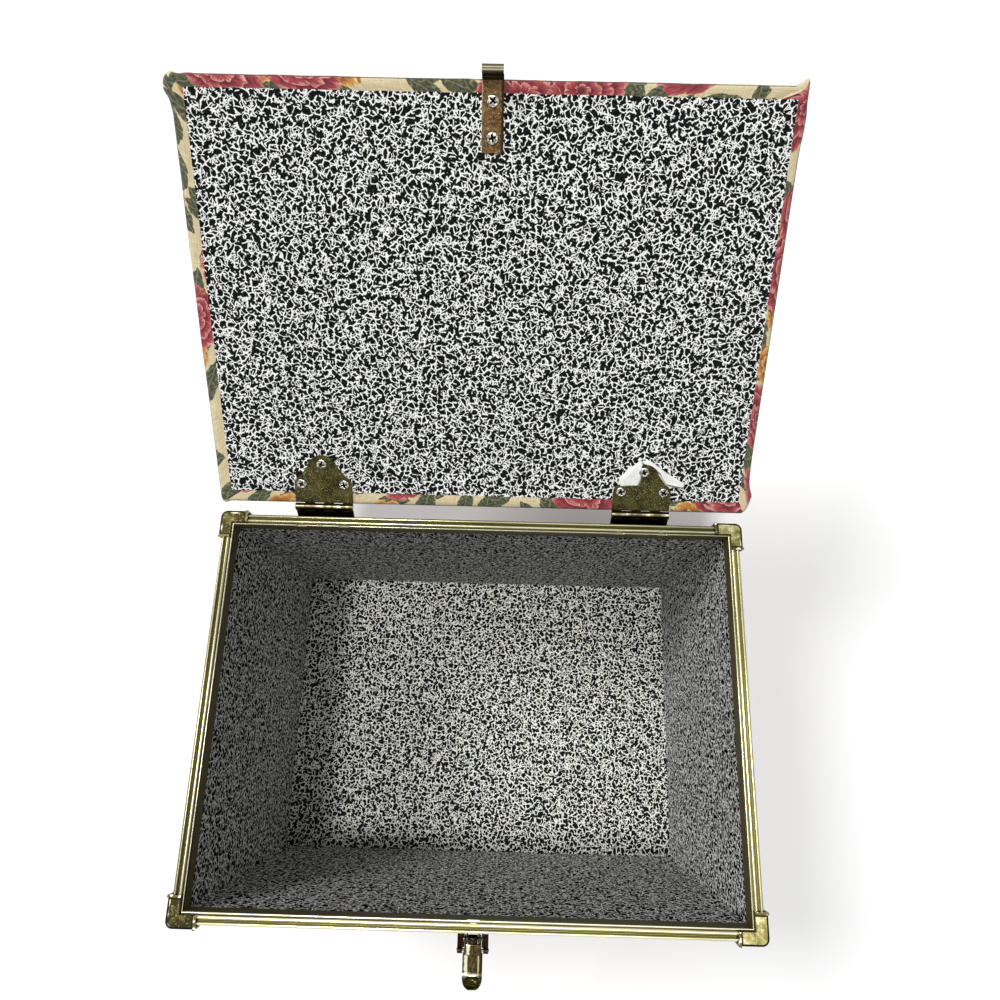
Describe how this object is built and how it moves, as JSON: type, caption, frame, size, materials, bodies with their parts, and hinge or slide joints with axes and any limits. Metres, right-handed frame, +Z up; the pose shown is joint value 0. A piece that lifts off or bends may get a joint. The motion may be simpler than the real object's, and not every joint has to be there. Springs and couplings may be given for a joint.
{
  "type": "fabric storage trunk",
  "caption": "Fabric covered box trunk with a padded lid hinged at the back, reeded metal rim, stamped corner caps, printed paper lining and a draw latch on the front.",
  "frame": {"origin": "middle of the base, on the surface that it stands on", "axes": "+Z up, -Y towards the front with the latch, +Y towards the hinges, +X to the viewer's right. The lid is stored open, leaning back over its hinges"},
  "size_m": [0.355, 0.5008, 0.3854],
  "materials": {
    "cover_fabric": "coarse cotton, printed with flowers on cream",
    "lining_paper": "matte printed paper on card, white veins on charcoal",
    "board": "bare grey brown chipboard",
    "wadding": "loose white wadding",
    "base_sheet": "matte black pasted sheet",
    "rim_metal": "thin rolled brass, worn and glossy",
    "cap_metal": "stamped, antique patina",
    "hinge_metal": "dark antique patina, fine scratches",
    "pin_steel": "plain wire",
    "screw_nickel": "nickel plated, slightly worn",
    "catch_metal": "bronze brown patina",
    "latch_brass": "antique, shiny on the edges"
  },
  "bodies": {
    "trunk": {"outer_cover": "cover_fabric", "wall_lining": "lining_paper", "floor_lining": "lining_paper", "bottom_board": "board", "wall_front": "board", "wall_back": "board", "wall_left": "board", "wall_right": "board", "base_sheet": "base_sheet", "rim_front": "rim_metal", "rim_back": "rim_metal", "rim_left": "rim_metal", "rim_right": "rim_metal", "rim_cap_front_left": "cap_metal", "rim_cap_front_right": "cap_metal", "rim_cap_back_left": "cap_metal", "rim_cap_back_right": "cap_metal", "rim_cap_nails": "cap_metal", "hinge_leaf_box_left": "hinge_metal", "hinge_leaf_box_right": "hinge_metal", "hinge_pin_left": "pin_steel", "hinge_pin_right": "pin_steel", "latch_pivot_pin": "pin_steel", "hinge_screws_box": "screw_nickel", "latch_tacks": "screw_nickel", "latch_base": "latch_brass"},
    "lid": {"lid_board": "board", "lid_cover": "cover_fabric", "lid_lining": "lining_paper", "lid_padding": "wadding", "hinge_leaf_lid_left": "hinge_metal", "hinge_leaf_lid_right": "hinge_metal", "hinge_screws_lid": "screw_nickel", "catch_strip": "catch_metal", "catch_screws": "screw_nickel"},
    "lever": {"latch_lever": "latch_brass", "latch_loop_pin": "pin_steel"},
    "loop": {"latch_loop": "catch_metal"}
  },
  "joints": [
    {"name": "lid_hinge", "type": "hinge", "parent": "trunk", "child": "lid", "pos_m": [0, 0.13005, 0.2199], "axis": [1, 0, 0], "range_deg": [0, 142.67]},
    {"name": "lever_pivot", "type": "hinge", "parent": "trunk", "child": "lever", "pos_m": [0.0036, -0.12925, 0.207], "axis": [1, 0, 0], "range_deg": [0, 84]},
    {"name": "loop_pivot", "type": "hinge", "parent": "lever", "child": "loop", "pos_m": [0.0036, -0.13551, 0.20567], "axis": [1, 0, 0], "range_deg": [0, 150]}
  ]
}
